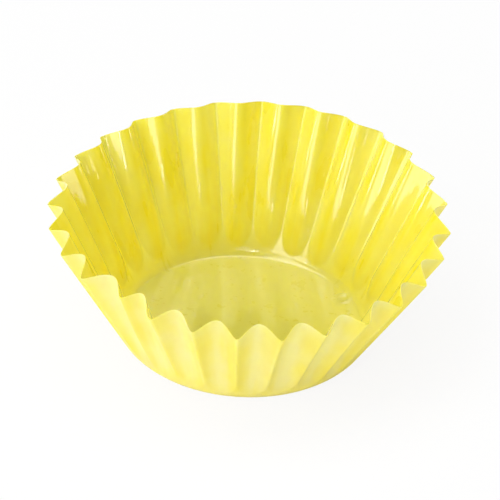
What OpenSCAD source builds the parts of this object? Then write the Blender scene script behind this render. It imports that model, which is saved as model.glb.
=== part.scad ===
// Pleated food cup for a lunch box, pressed as one piece from a round blank of thin plastic film.
// Millimetres, +Z up. The origin is the centre of the base's underside, where the cup stands.
// X runs along the rim's narrower width and Y along its longer one.

/* [Base] */
// Diameter of the base, out to the sharp corner that base and wall would make
base_d = 50; // [44:0.5:60]
// Outer radius of the rounded corner between base and wall
corner_r = 1.5; // [0.6:0.1:3]

/* [Wall] */
// Width of the rim over the ridges, left to right
rim_w = 81.8; // [74:0.2:100]
// Length of the rim over the ridges, front to back
rim_l = 84.8; // [74:0.2:100]
// Height of the ridges at the rim
ridge_h = 26.9; // [18:0.1:40]
// Rise of the rim at two opposite quarters, and its drop at the other two
rim_warp = 0.7; // [0:0.1:2]
// Thickness of the film
film_t = 0.15; // [0.08:0.01:0.25]

/* [Pleats] */
// Number of pleats round the wall
pleat_n = 28; // [20:1:36]
// Depth of a flute at the rim, from the ridges inwards
pleat_depth = 3.4; // [1:0.1:4]
// Plain band between the rounded corner and the lower ends of the flutes
plain_band = 0.8; // [0.2:0.1:3]
// Length of the round lower ends, over which the flutes widen to their full pitch
run_out = 4; // [2:0.5:8]
// Turn of the first ridge from the X axis, in degrees
pleat_turn = 11.2; // [0:0.1:13]

/* [Hidden] */

film_colour = [0.95, 0.88, 0.25];

// How the flutes deepen up the wall: 1 would be evenly, and less is faster near the base
depth_growth = 0.6;
// Form of a flute across: 1 is half a sine wave, and more gives wider ridges
flute_power = 1.26;

// How finely the film is divided: columns across a pleat, and rows up the parts of the wall
pleat_columns = 8;
corner_rows = 2;
run_out_rows = 3;
flute_rows = 4;

// The wall's ridges run straight from the base's corner to the rim
rim_r = (rim_w + rim_l) / 4;
flare = rim_r - base_d / 2;
slant = norm([flare, ridge_h]);
wall_angle = atan2(ridge_h, flare);

// Places on the wall are shares of the slant: 0 at the sharp corner, 1 at the rim
corner_len = corner_r * tan(wall_angle / 2);
corner_end = corner_len / slant;
flute_start = corner_end + plain_band / slant;
flute_full = flute_start + run_out / slant;

// The rows of points, from the base's edge to the rim. Those on the rounded corner are
// negative, from -1 at the base to 0 at the wall
rows = concat(
    [for (i = [0 : corner_rows - 1]) i / corner_rows - 1],
    [corner_end],
    [for (i = [0 : run_out_rows - 1])
        flute_start + (flute_full - flute_start) * pow(i / run_out_rows, 1.5)],
    [for (i = [0 : flute_rows])
        flute_full + (1 - flute_full) * pow(i / flute_rows, 1.2)]
);
column_n = pleat_n * pleat_columns;

// Share of the pitch that a flute takes at a place on the wall
function flute_width(share) =
    share <= flute_start ? 0
    : min(1, sqrt((share - flute_start) / (flute_full - flute_start)));

// Depth of a flute's middle at a place on the wall
function flute_depth(share) =
    share <= flute_start ? 0
    : pleat_depth * pow((share - flute_start) / (1 - flute_start), depth_growth);

// A flute's form across one pleat: 0 on the ridges, at across = 0 and 1, and 1 in its middle
function flute_form(across, width) =
    abs(across - 0.5) * 2 >= width ? 0
    : pow(cos(180 * (across - 0.5) / width), flute_power);

// Radius and height on the rounded corner, where turn goes from 0 at the base to 1 at the wall
function corner_point(turn) = [
    base_d / 2 - corner_len + corner_r * sin(wall_angle * turn),
    corner_r * (1 - cos(wall_angle * turn))
];

// Radius and height on the wall. The film doesn't stretch, so a point keeps its distance from
// the corner as it is pressed inwards, and the flutes' rims stand higher than the ridges'
function wall_point(share, across) =
    let (out = flare * share - flute_depth(share) * flute_form(across, flute_width(share)))
    [base_d / 2 + out, sqrt(pow(slant * share, 2) - out * out)];

// A point of the film's outer face
function outer_point(row, column) =
    let (
        share = max(row, 0),
        across = (column % pleat_columns) / pleat_columns,
        angle = pleat_turn + 360 * column / column_n,
        p = row < 0 ? corner_point(row + 1) : wall_point(row, across),
        out_x = 1 + (rim_w / 2 / rim_r - 1) * share,
        out_y = 1 + (rim_l / 2 / rim_r - 1) * share
    )
    [p[0] * cos(angle) * out_x, p[0] * sin(angle) * out_y, p[1] + rim_warp * sin(2 * angle) * share];

outer = [for (row = rows) [for (c = [0 : column_n - 1]) outer_point(row, c)]];

// The matching point of the film's inner face, one thickness in from the outer one
function inner_point(r, c) =
    let (
        here = outer[r][c],
        round_film = outer[r][(c + 1) % column_n] - outer[r][(c + column_n - 1) % column_n],
        up_film = r == 0 ? here : outer[min(r + 1, len(rows) - 1)][c] - outer[r - 1][c],
        inward = cross(up_film, round_film)
    )
    here + film_t * inward / norm(inward);

inner = [for (r = [0 : len(rows) - 1]) [for (c = [0 : column_n - 1]) inner_point(r, c)]];

// Places of the points in the list that both faces share: side is 0 outside and 1 inside
function at(side, r, c) = (side * len(rows) + r) * column_n + c % column_n;

// The two triangles between two rows and two columns. The diagonal changes sides in the middle
// of a flute, so that both flanks are alike
function panel(side, r, c) =
    let (
        a = at(side, r, c),
        b = at(side, r, c + 1),
        d = at(side, r + 1, c),
        e = at(side, r + 1, c + 1),
        first_flank = c % pleat_columns < pleat_columns / 2,
        outward = first_flank ? [[a, d, e], [a, e, b]] : [[a, d, b], [d, e, b]]
    )
    side == 0 ? outward : [for (t = outward) [t[0], t[2], t[1]]];

// The one pressed piece of film: base, rounded corner, pleated wall and cut rim
module cup() {
    columns = [0 : column_n - 1];
    panels = [for (side = [0, 1]) for (r = [0 : len(rows) - 2]) for (c = columns)
        each panel(side, r, c)];
    base_under = [for (c = columns) at(0, 0, c)];
    base_inside = [for (c = columns) at(1, 0, column_n - 1 - c)];
    top = len(rows) - 1;
    rim_edge = [for (c = columns)
        each [
            [at(1, top, c), at(1, top, c + 1), at(0, top, c + 1)],
            [at(1, top, c), at(0, top, c + 1), at(0, top, c)]
        ]];
    color(film_colour)
        polyhedron(
            points = [each for (face = [outer, inner]) for (row = face) row],
            faces = concat(panels, [base_under, base_inside], rim_edge)
        );
}

cup();
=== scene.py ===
import math

import bpy
from mathutils import Matrix, Vector


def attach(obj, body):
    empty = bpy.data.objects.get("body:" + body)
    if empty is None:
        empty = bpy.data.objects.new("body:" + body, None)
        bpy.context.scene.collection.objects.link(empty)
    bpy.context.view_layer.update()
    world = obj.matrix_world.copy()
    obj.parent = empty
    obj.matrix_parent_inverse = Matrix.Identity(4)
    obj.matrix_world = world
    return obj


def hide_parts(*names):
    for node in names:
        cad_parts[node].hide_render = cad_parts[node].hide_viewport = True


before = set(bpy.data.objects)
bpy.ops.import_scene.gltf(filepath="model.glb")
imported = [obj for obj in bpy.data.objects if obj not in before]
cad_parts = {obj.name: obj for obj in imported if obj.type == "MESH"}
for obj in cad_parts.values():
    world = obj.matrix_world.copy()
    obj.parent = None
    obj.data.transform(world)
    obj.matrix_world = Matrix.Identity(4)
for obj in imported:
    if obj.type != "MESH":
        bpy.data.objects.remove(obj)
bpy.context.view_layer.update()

MM = 0.001

# The cup's sizes, in millimetres and degrees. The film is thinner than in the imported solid, and
# nearer to the real one
BASE_DIAMETER = 50
RIM_WIDTH = 81.7
RIM_LENGTH = 84.7
RIDGE_HEIGHT = 26.9
RIM_WARP = 0.7
FILM_THICKNESS = 0.10
PLEATS = 28
PLEAT_DEPTH = 3.4
PLAIN_BAND = 0.05
RUN_OUT = 4.6
PLEAT_TURN = 11.2

# How a flute deepens up the wall, and its form across: nearly flat at its foot, a wave at the rim
DEPTH_GROWTH = 0.6
SOFT_START = 0.02
FOOT_FLATNESS = 2.6
RIM_WAVE_POWER = 1.15
WAVE_ONSET_POWER = 2.0
GROOVE_ROUNDING = 0.10

# How unlike the pleats are, at most, before UNEVENNESS takes its share: ridges lean and bow by
# degrees, flutes are shallower by a part of their depth and start higher by millimetres
UNEVENNESS = 0.6
RIDGE_LEAN = 0.8
RIDGE_BOW = 0.7
SHALLOWER_BY = 0.16
STARTS_HIGHER_BY = 2.9
LEAN_SEED = 3
BOW_SEED = 5
DEPTH_SEED = 11
START_SEED = 327

# One ridge that is pushed in, and the small ring that is pressed into the base
DENTED_RIDGE = 17
DENT_DEPTH = 2.0
DENT_TURN = 0.83
RING_PLACE = (20.2, 11.5)
RING_RADIUS = 1.3
RING_WIDTH = 0.4
RING_HEIGHT = 0.3

# The pressed edge between base and wall, a narrow slope between two soft creases. From the base
# outwards: distance from the sharp corner that base and wall would make, and height
EDGE_PROFILE = (
    (-0.70, 0.000), (-0.46, 0.050), (-0.24, 0.190), (0.10, 0.510),
    (0.35, 0.750), (0.490, 0.910), (0.61, 1.090),
)

# How finely the film is divided, and how rows and columns crowd where it bends most
PLEAT_COLUMNS = 22
BASE_ROWS = 20
CORNER_ROWS = len(EDGE_PROFILE) - 1
WALL_ROWS = 34
CUT_EDGE_ROW = 0.004
CROWDING_AT_RIDGES = 0.35
BASE_ROW_POWER = 1.7
WALL_ROW_POWER = 1.3
SLOPE_COLUMNS = 2
CLOSING_DISTANCE = 1e-6

# The camera, fitted to the photograph: lengths in pixels belong to its 500 x 500 frame
PHOTO_SIDE = 500
FOCAL_LENGTH_PX = 7944
BASE_CENTRE_PX = (243.2, 326.3)
CAMERA_DISTANCE = 1.62
CAMERA_ELEVATION = 35.6
CAMERA_ROLL = 3.1
SENSOR_WIDTH = 36

# The floor lies a hair under the base, so that light goes through the film and comes back. It is
# shown white, with a tenth of the shadow that falls on it
FLOOR_Z = -0.0001
FLOOR_REACH = 4
FLOOR_WHITE = (0.9, 0.9, 0.9, 1)
SHADOW_SHOWN = 0.1
WHITE = (1, 1, 1, 1)

# The film's two faces: colour where it is deep, colour where it is pale, roughness, clear gloss, and
# how much deeper the yellow is in the valleys than on the ridges, which is painted shade and light
# Both faces are one film: the outside's paler yellows are painted light and sheen, and the inside's
# deeper yellows are painted shade
OUTSIDE = ((0.96, 0.75, 0.12), (0.98, 0.84, 0.34), 0.42, 0.0, -0.7)
INSIDE = ((0.95, 0.69, 0.015), (0.97, 0.81, 0.16), 0.30, 1.0, 0.45)

# The film's clouds and draw lines: scales per millimetre, across, across and up the film, detail,
# and what they do to tone, roughness and relief. The base, which isn't drawn, has less of them
CLOUD_SCALES = (0.22, 0.22, 0.10)
CLOUD_DETAIL = 2.0
CLOUD_TONE = 1.5
CLOUD_ROUGHNESS = 0.16
CLOUD_RELIEF = 0.9
LINE_SCALES = (0.9, 0.9, 0.05)
LINE_DETAIL = 1.0
LINE_TONE = 0.6
LINE_ROUGHNESS = 0.08
LINE_RELIEF = 0.5
TONE_ON_BASE = 0.15
RELIEF_ON_BASE = 0.04
FOOT_TO_FULL = 6.0
RELIEF_STRENGTH = 0.4
RELIEF_HEIGHT = 0.0002

# How the film bends, reflects and scatters light
FILM_IOR = 1.6
FILM_SPECULAR = 0.35
GLOSS_ROUGHNESS = 0.04
SCATTER_BY_COLOUR = (1.0, 0.95, 0.12)
SCATTER_DISTANCE = 0.0005

# The light of the white surroundings, and the lamps: name, turn and rise in degrees, width and
# height in metres, radiance
SURROUND_LIGHT = 0.15
LAMP_DISTANCE = 1.3
LAMPS = (
    ("softbox", -140, 28, 0.70, 0.50, 3.2),
    ("window", -106, 14, 0.16, 0.50, 10.0),
    ("low_left", -152, 9, 0.9, 0.36, 3.0),
    ("slit", -176, 12, 0.10, 0.24, 9.0),
    ("low_right", 150, 4, 1.0, 0.20, 2.6),
    ("back_right", 74, 5, 0.5, 0.22, 4.8),
    ("back_left", -60, 14, 0.12, 0.40, 10.0),
    ("strip", -145, 46, 1.7, 0.05, 12.0),
    ("overhead", -105, 64, 1.0, 0.50, 3.0),
    ("top", 0, 84, 1.1, 1.00, 2.3),
)


class Number:
    """A number or vector inside a node tree, which takes part in plain arithmetic."""

    def __init__(self, socket):
        self.socket = socket

    def __add__(self, other):
        return work_out("ADD", self, other)

    def __radd__(self, other):
        return work_out("ADD", other, self)

    def __sub__(self, other):
        return work_out("SUBTRACT", self, other)

    def __rsub__(self, other):
        return work_out("SUBTRACT", other, self)

    def __mul__(self, other):
        return work_out("MULTIPLY", self, other)

    def __rmul__(self, other):
        return work_out("MULTIPLY", other, self)

    def __truediv__(self, other):
        return work_out("DIVIDE", self, other)

    def __rtruediv__(self, other):
        return work_out("DIVIDE", other, self)

    def __pow__(self, other):
        return work_out("POWER", self, other)

    def __rpow__(self, other):
        return work_out("POWER", other, self)

    def __mod__(self, other):
        return work_out("FLOORED_MODULO", self, other)


def plug(tree, value, socket):
    """Links a Number to a node's input, or sets the input to a plain value."""
    if isinstance(value, Number):
        tree.links.new(value.socket, socket)
    else:
        socket.default_value = value


def work_out(operation, *values):
    """One Math node."""
    tree = next(v.socket.id_data for v in values if isinstance(v, Number))
    node = tree.nodes.new("ShaderNodeMath")
    node.operation = operation
    for value, socket in zip(values, node.inputs):
        plug(tree, value, socket)
    return Number(node.outputs[0])


def clamp(value):
    """The value, kept from 0 to 1."""
    result = work_out("ADD", value, 0.0)
    result.socket.node.use_clamp = True
    return result


def squared(value):
    """The value times itself."""
    return value * value


def node_of(tree, kind, inputs=(), **settings):
    """A node of a kind, with its settings and with its inputs given by name or place."""
    node = tree.nodes.new(kind)
    for name, value in settings.items():
        setattr(node, name, value)
    for name, value in dict(inputs).items():
        plug(tree, value, node.inputs[name])
    return node


def given_by(tree, kind, inputs=(), output=0, **settings):
    """What a node of a kind gives, as a Number."""
    return Number(node_of(tree, kind, inputs, **settings).outputs[output])


def joined(tree, x, y, z):
    """Three numbers as one vector."""
    return given_by(tree, "ShaderNodeCombineXYZ", {"X": x, "Y": y, "Z": z})


def vector_math(tree, operation, *values, output="Vector"):
    """One Vector Math node."""
    return given_by(tree, "ShaderNodeVectorMath", dict(enumerate(values)), output, operation=operation)


def scaled(tree, vector, factor):
    """A vector times a number."""
    inputs = {0: vector, "Scale": factor}
    return given_by(tree, "ShaderNodeVectorMath", inputs, "Vector", operation="SCALE")


def tree_input(tree, name, kind):
    """Adds a named input to a node tree and gives its identifier."""
    return tree.interface.new_socket(name, in_out="INPUT", socket_type=kind).identifier


def grid_sheet(tree, rows, columns):
    """A sheet of rows x (columns + 1) points, with the row and the column of each as Numbers."""
    sheet = given_by(tree, "GeometryNodeMeshGrid", {
        "Size X": 1.0, "Size Y": 1.0, "Vertices X": rows, "Vertices Y": columns + 1}, "Mesh")
    index = given_by(tree, "GeometryNodeInputIndex")
    row = work_out("FLOOR", (index + 0.5) / (columns + 1))
    column = index - row * (columns + 1)
    return sheet, row, column


def uneven(tree, number, seed, least=-1.0, most=1.0):
    """A random number that belongs to a pleat's number."""
    random = node_of(tree, "FunctionNodeRandomValue", {"ID": number, "Seed": seed}, data_type="FLOAT")
    random.inputs[2].default_value = least
    random.inputs[3].default_value = most
    return Number(random.outputs[1])


def flute_form(across, width, near_rim):
    """How far the film is pressed in across a flute, from 0 at its ridges to 1 at its middle."""
    sideways = clamp(work_out("ABSOLUTE", across - 0.5) * 2.0 / work_out("MAXIMUM", width, 0.0001))
    rounded = work_out("SQRT", squared(1.0 - sideways) + GROOVE_ROUNDING ** 2) - GROOVE_ROUNDING
    sideways = 1.0 - rounded / (math.hypot(1.0, GROOVE_ROUNDING) - GROOVE_ROUNDING)
    flat_flute = 1.0 - sideways ** FOOT_FLATNESS
    wave_flute = work_out("COSINE", sideways * (math.pi / 2)) ** RIM_WAVE_POWER
    return flat_flute + (wave_flute - flat_flute) * near_rim


def film_shape(tree, size, row, column):
    """The outer face's point at a row and column, and where it lies on the film."""
    pleat = work_out("FLOOR", (column + 0.5) / PLEAT_COLUMNS)
    evenly = (column % PLEAT_COLUMNS) / PLEAT_COLUMNS
    crowding = CROWDING_AT_RIDGES / (2 * math.pi)
    across = evenly - work_out("SINE", evenly * (2 * math.pi)) * crowding
    pleats_round = pleat + across
    pleat = pleat % size["Pleats"]
    next_pleat = (pleat + 1) % size["Pleats"]

    base_r = size["Base Diameter"] * 0.5
    rim_r = (size["Rim Width"] + size["Rim Length"]) * 0.25
    flare = rim_r - base_r
    slant = work_out("SQRT", flare * flare + size["Ridge Height"] * size["Ridge Height"])
    corner_end = math.hypot(*EDGE_PROFILE[-1]) / slant

    # Rows go out over the base, closer together near its edge, round the corner and up the wall
    base_part = 1.0 - (1.0 - clamp(row / BASE_ROWS)) ** BASE_ROW_POWER
    wall_row = row - (BASE_ROWS + CORNER_ROWS)
    wall_part = clamp(wall_row / (WALL_ROWS - 1)) ** WALL_ROW_POWER * (1.0 - CUT_EDGE_ROW)
    wall_part = wall_part + CUT_EDGE_ROW * work_out("GREATER_THAN", wall_row, WALL_ROWS - 0.5)
    share = corner_end + (1.0 - corner_end) * wall_part
    on_wall = work_out("GREATER_THAN", wall_part, 0.0)

    # No two pleats are quite alike: ridges lean and bow, flutes differ in depth and in length
    def along(seed):
        return uneven(tree, pleat, seed) * (1.0 - across) + uneven(tree, next_pleat, seed) * across

    unlike = size["Unevenness"]
    arch = work_out("SINE", share * math.pi)
    stray = unlike * (along(LEAN_SEED) * share * RIDGE_LEAN + along(BOW_SEED) * arch * RIDGE_BOW)
    shallower = unlike * uneven(tree, pleat, DEPTH_SEED, 0.0, SHALLOWER_BY)
    depth_here = size["Pleat Depth"] * (1.0 - shallower)
    start_here = size["Plain Band"] + unlike * uneven(tree, pleat, START_SEED, 0.0, STARTS_HIGHER_BY)
    flute_start = corner_end + start_here / slant

    # The flute opens to its full width in a round end, and deepens up to the rim
    grown = clamp((share - flute_start) / (1.0 - flute_start))
    to_full_width = 1.0 - clamp((share - flute_start) / (size["Run Out"] / slant))
    width = work_out("SQRT", 1.0 - to_full_width * to_full_width)
    form = flute_form(across, width, share ** WAVE_ONSET_POWER)
    softly = SOFT_START ** DEPTH_GROWTH
    full_growth = (1.0 + SOFT_START) ** DEPTH_GROWTH - softly
    growth = ((grown + SOFT_START) ** DEPTH_GROWTH - softly) / full_growth
    fold_in = depth_here * growth * form

    # The dent
    from_dent = clamp(work_out("ABSOLUTE", pleats_round - DENTED_RIDGE))
    dent = squared(work_out("COSINE", from_dent * (math.pi / 2))) * share * share
    stray = stray + size["Dent Turn"] * dent

    # The film doesn't stretch: a point keeps its distance from the corner as it is pressed inwards
    out = flare * share - fold_in
    reach = slant * share
    wall_r = base_r + out - size["Dent Depth"] * dent
    wall_z = work_out("SQRT", work_out("MAXIMUM", reach * reach - out * out, 0.0))

    # The base and its pressed edge
    corner_r = (base_r + EDGE_PROFILE[0][0]) * base_part
    corner_z = base_part * 0.0
    for step, (here, there) in enumerate(zip(EDGE_PROFILE, EDGE_PROFILE[1:])):
        passed = clamp(row - (BASE_ROWS + step))
        corner_r = corner_r + passed * (there[0] - here[0])
        corner_z = corner_z + passed * (there[1] - here[1])

    radius = corner_r + (wall_r - corner_r) * on_wall
    up_share = share * on_wall
    angle = size["Pleat Turn"] + pleats_round * (360.0 / PLEATS) + stray * on_wall
    angle = angle * (math.pi / 180)
    east = work_out("COSINE", angle)
    north = work_out("SINE", angle)
    height = corner_z + (wall_z - corner_z) * on_wall
    height = height + size["Rim Warp"] * up_share * work_out("SINE", angle * 2.0)
    x = radius * east * (1.0 + (size["Rim Width"] * 0.5 / rim_r - 1.0) * up_share)
    y = radius * north * (1.0 + (size["Rim Length"] * 0.5 / rim_r - 1.0) * up_share)

    # The small ring
    from_ring = joined(tree, x - RING_PLACE[0], y - RING_PLACE[1], 0.0)
    ring = (vector_math(tree, "LENGTH", from_ring, output="Value") - RING_RADIUS) / RING_WIDTH
    height = height + size["Ring Height"] * math.e ** (0.0 - ring * ring)

    flat_r = work_out("MINIMUM", radius, base_r)
    return {
        "place": scaled(tree, joined(tree, x, y, height), MM),
        "on_film": joined(tree, flat_r * east, flat_r * north, reach * on_wall),
        "up_wall": up_share,
        # How far into its flute a point lies, which the materials use for painted shade and light
        # across the pleats
        "in_valley": work_out("SINE", across * math.pi) ** 2.0,
    }


def picked(tree, sheet, value, index):
    """The vector that a sheet holds at an index."""
    inputs = {"Geometry": sheet, "Value": value, "Index": index}
    return given_by(tree, "GeometryNodeSampleIndex", inputs, "Value", data_type="FLOAT_VECTOR")


def pressed_film_tree(materials):
    """The tree that presses a round blank of film into the pleated cup: a closed thin shell."""
    tree = bpy.data.node_groups.new("pressed_film", "GeometryNodeTree")
    tree.interface.new_socket("Geometry", in_out="OUTPUT", socket_type="NodeSocketGeometry")
    tree_input(tree, "Geometry", "NodeSocketGeometry")
    values = {
        "Base Diameter": BASE_DIAMETER,
        "Rim Width": RIM_WIDTH,
        "Rim Length": RIM_LENGTH,
        "Ridge Height": RIDGE_HEIGHT,
        "Rim Warp": RIM_WARP,
        "Film Thickness": FILM_THICKNESS,
        "Pleats": PLEATS,
        "Pleat Depth": PLEAT_DEPTH,
        "Plain Band": PLAIN_BAND,
        "Run Out": RUN_OUT,
        "Pleat Turn": PLEAT_TURN,
        "Unevenness": UNEVENNESS,
        "Dent Depth": DENT_DEPTH,
        "Dent Turn": DENT_TURN,
        "Ring Height": RING_HEIGHT,
    }
    settings = {}
    for name, value in values.items():
        settings[tree_input(tree, name, "NodeSocketFloat")] = float(value)
    group_in = tree.nodes.new("NodeGroupInput")
    group_out = tree.nodes.new("NodeGroupOutput")
    size = {name: Number(group_in.outputs[name]) for name in values}

    columns = PLEATS * PLEAT_COLUMNS
    rows = BASE_ROWS + CORNER_ROWS + WALL_ROWS + 1

    # One sheet for the outer face
    flat, row, column = grid_sheet(tree, rows, columns)
    shape = film_shape(tree, size, row, column)
    outer = given_by(tree, "GeometryNodeSetPosition", {"Geometry": flat, "Position": shape["place"]})

    # The shell goes up the outer face and comes back down the inner one
    shell, row, column = grid_sheet(tree, 2 * rows, columns)
    inside = work_out("GREATER_THAN", row, rows - 0.5)
    outer_row = row + inside * ((2 * rows - 1) - 2 * row)
    own_place = given_by(tree, "GeometryNodeInputPosition")

    def outer_place(row_there, column_there):
        return picked(tree, outer, own_place, row_there * (columns + 1) + column_there)

    here = outer_place(outer_row, column)
    upwards = vector_math(tree, "SUBTRACT",
                          outer_place(work_out("MINIMUM", outer_row + 1, rows - 1), column),
                          outer_place(work_out("MAXIMUM", outer_row - 1, 0), column))
    round_film = vector_math(tree, "SUBTRACT",
                             outer_place(outer_row, (column + SLOPE_COLUMNS) % columns),
                             outer_place(outer_row, (column - SLOPE_COLUMNS) % columns))
    inward = vector_math(tree, "NORMALIZE", vector_math(tree, "CROSS_PRODUCT", upwards, round_film))
    on_base = work_out("LESS_THAN", outer_row, BASE_ROWS + 0.5)
    lift = vector_math(tree, "ADD", scaled(tree, inward, 1.0 - on_base),
                       joined(tree, 0.0, 0.0, on_base))
    film = scaled(tree, lift, inside * size["Film Thickness"] * MM)
    place = vector_math(tree, "ADD", here, film)
    pressed = given_by(tree, "GeometryNodeSetPosition", {"Geometry": shell, "Position": place})

    # Where a point lies on the film, for the materials
    shape = film_shape(tree, size, outer_row, column)
    shape["inside"] = inside
    for name in ("on_film", "up_wall", "in_valley", "inside"):
        inputs = {"Geometry": pressed, "Name": name, "Value": shape[name]}
        kind = "FLOAT_VECTOR" if name == "on_film" else "FLOAT"
        pressed = given_by(tree, "GeometryNodeStoreNamedAttribute", inputs,
                           data_type=kind, domain="POINT")

    outer_film, inner_film = materials
    finished = given_by(tree, "GeometryNodeMergeByDistance",
                        {"Geometry": pressed, "Distance": CLOSING_DISTANCE})
    finished = given_by(tree, "GeometryNodeFlipFaces", {"Mesh": finished})
    finished = given_by(tree, "GeometryNodeSetShadeSmooth", {"Geometry": finished})
    finished = given_by(tree, "GeometryNodeRealizeInstances", {"Geometry": finished})
    finished = given_by(tree, "GeometryNodeSetMaterial", {"Geometry": finished, "Material": outer_film})
    is_inside = given_by(tree, "GeometryNodeInputNamedAttribute", {"Name": "inside"}, "Attribute",
                         data_type="FLOAT")
    inner_face = work_out("GREATER_THAN", is_inside, 0.99)
    finished = given_by(tree, "GeometryNodeSetMaterial", {
        "Geometry": finished, "Selection": inner_face, "Material": inner_film})
    plug(tree, finished, group_out.inputs[0])
    return tree, settings


def on_the_film(tree, name, output="Fac"):
    """What the pressed film has stored on its points under a name."""
    return given_by(tree, "ShaderNodeAttribute", output=output, attribute_name=name)


def film_noise(tree, stretch, detail):
    """Noise laid on the film itself, in millimetres: stretch gives its three scales."""
    laid = vector_math(tree, "MULTIPLY", on_the_film(tree, "on_film", "Vector"), stretch)
    return given_by(tree, "ShaderNodeTexNoise", {"Vector": laid, "Scale": 1.0, "Detail": detail})


def film_material(name, deep_yellow, pale_yellow, satin_roughness, clear_gloss, painted_pleat_shade_amount):
    """Pressed yellow film, which lets some light through."""
    material = bpy.data.materials.new(name)
    material.use_nodes = True
    tree = material.node_tree
    shader = tree.nodes["Principled BSDF"]

    clouds = film_noise(tree, CLOUD_SCALES, CLOUD_DETAIL)
    draw_lines = film_noise(tree, LINE_SCALES, LINE_DETAIL)
    on_wall = clamp(on_the_film(tree, "up_wall") * FOOT_TO_FULL)

    stretched = (clouds - 0.5) * CLOUD_TONE + (draw_lines - 0.5) * LINE_TONE
    # Painted shade and light across the pleats: the yellow is deeper on one part of each pleat and
    # paler on the other
    painted_pleat_shade = (0.5 - on_the_film(tree, "in_valley")) * painted_pleat_shade_amount * on_wall
    tone = clamp(0.5 + stretched * (TONE_ON_BASE + (1.0 - TONE_ON_BASE) * on_wall) + painted_pleat_shade)
    colour = node_of(tree, "ShaderNodeMix", data_type="RGBA")
    plug(tree, tone, colour.inputs["Factor"])
    colour.inputs[6].default_value = (*deep_yellow, 1)
    colour.inputs[7].default_value = (*pale_yellow, 1)
    tree.links.new(colour.outputs[2], shader.inputs["Base Color"])

    rough = satin_roughness + (clouds - 0.5) * CLOUD_ROUGHNESS + (draw_lines - 0.5) * LINE_ROUGHNESS
    plug(tree, rough, shader.inputs["Roughness"])

    relief = draw_lines * LINE_RELIEF + clouds * CLOUD_RELIEF
    relief = relief * (RELIEF_ON_BASE + (1.0 - RELIEF_ON_BASE) * on_wall)
    bump = given_by(tree, "ShaderNodeBump", {
        "Strength": RELIEF_STRENGTH, "Distance": RELIEF_HEIGHT, "Height": relief})
    plug(tree, bump, shader.inputs["Normal"])
    plug(tree, bump, shader.inputs["Coat Normal"])

    constants = {
        "IOR": FILM_IOR,
        "Specular IOR Level": FILM_SPECULAR,
        "Coat Weight": clear_gloss,
        "Coat Roughness": GLOSS_ROUGHNESS,
        "Coat IOR": FILM_IOR,
        "Subsurface Weight": 1.0,
        "Subsurface Radius": SCATTER_BY_COLOUR,
        "Subsurface Scale": SCATTER_DISTANCE,
    }
    for name, value in constants.items():
        shader.inputs[name].default_value = value
    return material


def make_cup():
    """The cup, one closed shell of film."""
    outer_film = film_material("satin_film_outside", *OUTSIDE)
    inner_film = film_material("glossy_film_inside", *INSIDE)
    tree, settings = pressed_film_tree((outer_film, inner_film))
    maker = bpy.data.objects.new("cup_maker", bpy.data.meshes.new("cup_maker"))
    bpy.context.scene.collection.objects.link(maker)
    modifier = maker.modifiers.new("pressed_film", "NODES")
    modifier.node_group = tree
    for identifier, value in settings.items():
        modifier[identifier] = value
    pressed = maker.evaluated_get(bpy.context.evaluated_depsgraph_get())
    mesh = bpy.data.meshes.new_from_object(pressed)
    maker.modifiers.clear()
    bpy.data.objects.remove(maker)
    cup = bpy.data.objects.new("pleated_cup", mesh)
    bpy.context.scene.collection.objects.link(cup)
    return cup


cup = make_cup()
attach(cup, "root")
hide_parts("cup")


def shown_rays(tree):
    """1 for the camera's rays, 0 for the rays that light the cup."""
    return given_by(tree, "ShaderNodeLightPath", output="Is Camera Ray")


def make_floor():
    """A white floor, which keeps a tenth of the cup's shadow."""
    mesh = bpy.data.meshes.new("floor")
    reach = FLOOR_REACH
    corners = [(-reach, -reach), (reach, -reach), (reach, reach), (-reach, reach)]
    mesh.from_pydata([(x, y, FLOOR_Z) for x, y in corners], [], [(0, 1, 2, 3)])
    floor = bpy.data.objects.new("floor", mesh)
    bpy.context.scene.collection.objects.link(floor)
    material = bpy.data.materials.new("white_floor")
    material.use_nodes = True
    tree = material.node_tree
    tree.nodes.clear()
    lit = node_of(tree, "ShaderNodeBsdfDiffuse", {"Color": FLOOR_WHITE})
    shown = node_of(tree, "ShaderNodeEmission", {"Color": WHITE, "Strength": 1.0})
    mix = node_of(tree, "ShaderNodeMixShader", {"Fac": shown_rays(tree) * (1.0 - SHADOW_SHOWN)})
    tree.links.new(lit.outputs[0], mix.inputs[1])
    tree.links.new(shown.outputs[0], mix.inputs[2])
    out = node_of(tree, "ShaderNodeOutputMaterial")
    tree.links.new(mix.outputs[0], out.inputs[0])
    floor.data.materials.append(material)


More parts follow.
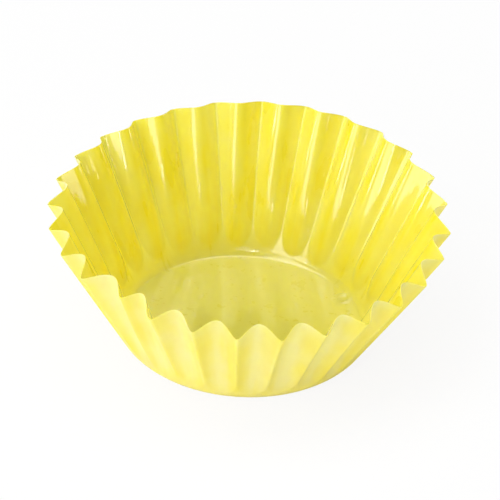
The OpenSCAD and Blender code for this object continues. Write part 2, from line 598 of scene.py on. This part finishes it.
def make_world():
    """White surroundings: shown as white, and lighting the cup less than the lamps do."""
    world = bpy.data.worlds.new("studio")
    bpy.context.scene.world = world
    world.use_nodes = True
    tree = world.node_tree
    background = tree.nodes["Background"]
    background.inputs["Color"].default_value = WHITE
    strength = SURROUND_LIGHT + shown_rays(tree) * (1.0 - SURROUND_LIGHT)
    plug(tree, strength, background.inputs["Strength"])


def make_lamp(name, turn, rise, width, height, radiance):
    """A soft rectangular lamp that faces the cup. Turn is from straight behind it, to the right."""
    turn, rise = math.radians(turn), math.radians(rise)
    level = math.cos(rise)
    towards = Vector((math.sin(turn) * level, math.cos(turn) * level, math.sin(rise)))
    lamp = bpy.data.lights.new(name, "AREA")
    lamp.shape = "RECTANGLE"
    lamp.size = width
    lamp.size_y = height
    lamp.energy = radiance * math.pi * width * height
    placed = bpy.data.objects.new(name, lamp)
    placed.location = towards * LAMP_DISTANCE
    placed.rotation_euler = (-towards).to_track_quat("-Z", "Y").to_euler()
    bpy.context.scene.collection.objects.link(placed)


def make_camera():
    """The camera of the photograph, turned so that the base's centre falls on its pixel."""
    elevation, roll = math.radians(CAMERA_ELEVATION), math.radians(CAMERA_ROLL)
    ahead = Vector((0, math.cos(elevation), -math.sin(elevation)))
    level = Vector((1, 0, 0))
    upright = level.cross(ahead)
    right = level * math.cos(roll) + upright * math.sin(roll)
    up = right.cross(ahead)
    across = (PHOTO_SIDE / 2 - BASE_CENTRE_PX[0]) / FOCAL_LENGTH_PX
    above = (BASE_CENTRE_PX[1] - PHOTO_SIDE / 2) / FOCAL_LENGTH_PX
    place = -ahead * CAMERA_DISTANCE
    ahead = (ahead + right * across + up * above).normalized()
    right = (right - ahead * right.dot(ahead)).normalized()
    up = right.cross(ahead)
    turned = Matrix((right, up, -ahead)).transposed().to_4x4()
    data = bpy.data.cameras.new("camera")
    data.sensor_width = SENSOR_WIDTH
    data.lens = SENSOR_WIDTH * FOCAL_LENGTH_PX / PHOTO_SIDE
    camera = bpy.data.objects.new("camera", data)
    camera.matrix_world = Matrix.Translation(place) @ turned
    bpy.context.scene.collection.objects.link(camera)
    bpy.context.scene.camera = camera


make_floor()
make_world()
for lamp in LAMPS:
    make_lamp(*lamp)
make_camera()
bpy.context.scene.view_settings.view_transform = "Standard"
